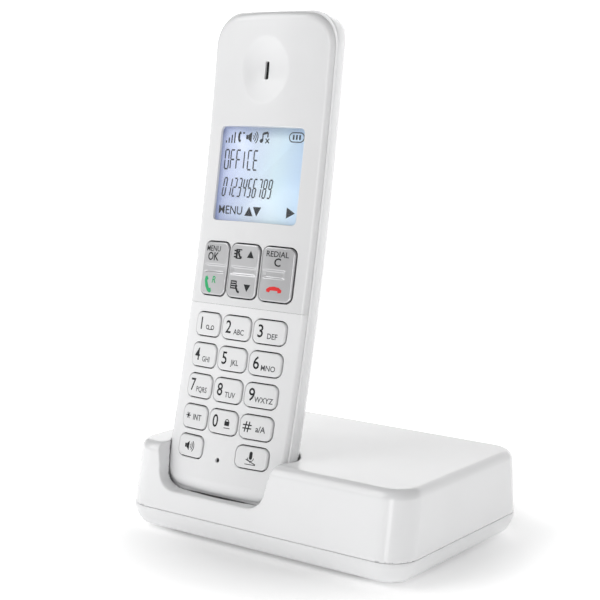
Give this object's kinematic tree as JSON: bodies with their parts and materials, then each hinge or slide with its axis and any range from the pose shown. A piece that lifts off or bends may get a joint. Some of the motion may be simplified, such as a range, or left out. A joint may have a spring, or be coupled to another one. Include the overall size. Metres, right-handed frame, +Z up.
{
  "type": "cordless phone with base",
  "caption": "Cordless telephone: a bowed white handset with display, silver rocker keys and number keys, standing in the off-centre cradle of a low rounded charging base.",
  "frame": {"origin": "centre of the base's footprint, on the table", "axes": "+X to the object's right, seen from the front; +Y to the back; +Z up"},
  "size_m": [0.109, 0.078, 0.17],
  "materials": {
    "white_shell": "high-gloss white moulding",
    "pale_panel": "high-gloss, slightly greyer white moulding",
    "white_keys": "satin white keycaps with grey print",
    "silver_keys": "silver-painted keycaps",
    "clear_window": "clear acrylic window",
    "display_glass": "backlit liquid-crystal display, pale blue",
    "light_guide": "milky light guide",
    "black_plastic": "black moulded parts",
    "felt": "acoustic felt",
    "grey_rubber": "silicone rubber",
    "circuit_board": "green solder mask",
    "nickel": "nickel-plated spring steel",
    "battery_sleeve": "printed sleeve on steel",
    "capacitor_sleeve": "dark sleeve",
    "screw_steel": "zinc-plated steel",
    "ivory_plastic": "ivory moulded socket"
  },
  "bodies": {
    "base": {"base_cover": "white_shell", "base_tray": "pale_panel", "base_feet": "grey_rubber", "base_circuit_board": "circuit_board", "base_rf_shield": "nickel", "base_capacitors": "capacitor_sleeve", "base_antennas": "nickel", "cradle_contacts": "nickel", "line_jack": "ivory_plastic", "power_jack": "black_plastic", "page_switch": "black_plastic", "base_screws": "screw_steel"},
    "handset": {"keypad_cover": "white_shell", "face_panel": "pale_panel", "display_window": "clear_window", "lcd_module": "display_glass", "lcd_backlight": "light_guide", "earpiece_speaker": "black_plastic", "earpiece_felt": "felt", "keypad_mat": "grey_rubber", "handset_circuit_board": "circuit_board", "handset_rf_shield": "nickel", "microphone": "black_plastic", "ringer_speaker": "black_plastic", "handset_back_cover": "white_shell", "battery_cell_left": "battery_sleeve", "battery_cell_right": "battery_sleeve", "battery_springs": "nickel", "battery_plates": "nickel", "handset_charge_contacts": "nickel", "handset_screws": "screw_steel"},
    "key_1_body": {"key_1": "white_keys"},
    "key_2_body": {"key_2": "white_keys"},
    "key_3_body": {"key_3": "white_keys"},
    "key_4_body": {"key_4": "white_keys"},
    "key_5_body": {"key_5": "white_keys"},
    "key_6_body": {"key_6": "white_keys"},
    "key_7_body": {"key_7": "white_keys"},
    "key_8_body": {"key_8": "white_keys"},
    "key_9_body": {"key_9": "white_keys"},
    "key_star_body": {"key_star": "white_keys"},
    "key_0_body": {"key_0": "white_keys"},
    "key_hash_body": {"key_hash": "white_keys"},
    "key_speaker_body": {"key_speaker": "white_keys"},
    "key_mute_body": {"key_mute": "white_keys"},
    "rocker_menu_talk_body": {"rocker_menu_talk": "silver_keys"},
    "rocker_up_down_body": {"rocker_up_down": "silver_keys"},
    "rocker_redial_end_body": {"rocker_redial_end": "silver_keys"},
    "battery_door_body": {"battery_door": "white_shell"},
    "page_key_body": {"page_key": "silver_keys"}
  },
  "joints": [
    {"name": "handset_lift", "type": "slide", "parent": "base", "child": "handset", "axis": [0, 0.2426, 0.9701], "range_m": [0, 0.06]},
    {"name": "press_1", "type": "slide", "parent": "handset", "child": "key_1_body", "axis": [0, 0.9805, -0.1966], "range_m": [0, 0.0008], "stiffness_N_per_m": 800},
    {"name": "press_2", "type": "slide", "parent": "handset", "child": "key_2_body", "axis": [0, 0.9805, -0.1966], "range_m": [0, 0.0008], "stiffness_N_per_m": 800},
    {"name": "press_3", "type": "slide", "parent": "handset", "child": "key_3_body", "axis": [0, 0.9805, -0.1966], "range_m": [0, 0.0008], "stiffness_N_per_m": 800},
    {"name": "press_4", "type": "slide", "parent": "handset", "child": "key_4_body", "axis": [0, 0.9784, -0.2066], "range_m": [0, 0.0008], "stiffness_N_per_m": 800},
    {"name": "press_5", "type": "slide", "parent": "handset", "child": "key_5_body", "axis": [0, 0.9784, -0.2066], "range_m": [0, 0.0008], "stiffness_N_per_m": 800},
    {"name": "press_6", "type": "slide", "parent": "handset", "child": "key_6_body", "axis": [0, 0.9784, -0.2066], "range_m": [0, 0.0008], "stiffness_N_per_m": 800},
    {"name": "press_7", "type": "slide", "parent": "handset", "child": "key_7_body", "axis": [0, 0.9763, -0.2165], "range_m": [0, 0.0008], "stiffness_N_per_m": 800},
    {"name": "press_8", "type": "slide", "parent": "handset", "child": "key_8_body", "axis": [0, 0.9763, -0.2165], "range_m": [0, 0.0008], "stiffness_N_per_m": 800},
    {"name": "press_9", "type": "slide", "parent": "handset", "child": "key_9_body", "axis": [0, 0.9763, -0.2165], "range_m": [0, 0.0008], "stiffness_N_per_m": 800},
    {"name": "press_star", "type": "slide", "parent": "handset", "child": "key_star_body", "axis": [0, 0.974, -0.2265], "range_m": [0, 0.0008], "stiffness_N_per_m": 800},
    {"name": "press_0", "type": "slide", "parent": "handset", "child": "key_0_body", "axis": [0, 0.974, -0.2265], "range_m": [0, 0.0008], "stiffness_N_per_m": 800},
    {"name": "press_hash", "type": "slide", "parent": "handset", "child": "key_hash_body", "axis": [0, 0.974, -0.2265], "range_m": [0, 0.0008], "stiffness_N_per_m": 800},
    {"name": "press_speaker", "type": "slide", "parent": "handset", "child": "key_speaker_body", "axis": [0, 0.9718, -0.2358], "range_m": [0, 0.0008], "stiffness_N_per_m": 800},
    {"name": "press_mute", "type": "slide", "parent": "handset", "child": "key_mute_body", "axis": [0, 0.9718, -0.2358], "range_m": [0, 0.0008], "stiffness_N_per_m": 800},
    {"name": "rock_menu_talk", "type": "hinge", "parent": "handset", "child": "rocker_menu_talk_body", "pos_m": [-0.03163, -0.01683, 0.0859], "axis": [1, 0, 0], "range_deg": [-3, 3], "stiffness_Nm_per_rad": 0.2},
    {"name": "rock_up_down", "type": "hinge", "parent": "handset", "child": "rocker_up_down_body", "pos_m": [-0.0189, -0.01793, 0.0861], "axis": [1, 0, 0], "range_deg": [-3, 3], "stiffness_Nm_per_rad": 0.2},
    {"name": "rock_redial_end", "type": "hinge", "parent": "handset", "child": "rocker_redial_end_body", "pos_m": [-0.00617, -0.01683, 0.0859], "axis": [1, 0, 0], "range_deg": [-3, 3], "stiffness_Nm_per_rad": 0.2},
    {"name": "battery_door_off", "type": "slide", "parent": "handset", "child": "battery_door_body", "axis": [0, 0.9813, -0.1924], "range_m": [0, 0.025]},
    {"name": "press_page", "type": "slide", "parent": "base", "child": "page_key_body", "axis": [0, -1, 0], "range_m": [0, 0.0008], "stiffness_N_per_m": 800}
  ]
}
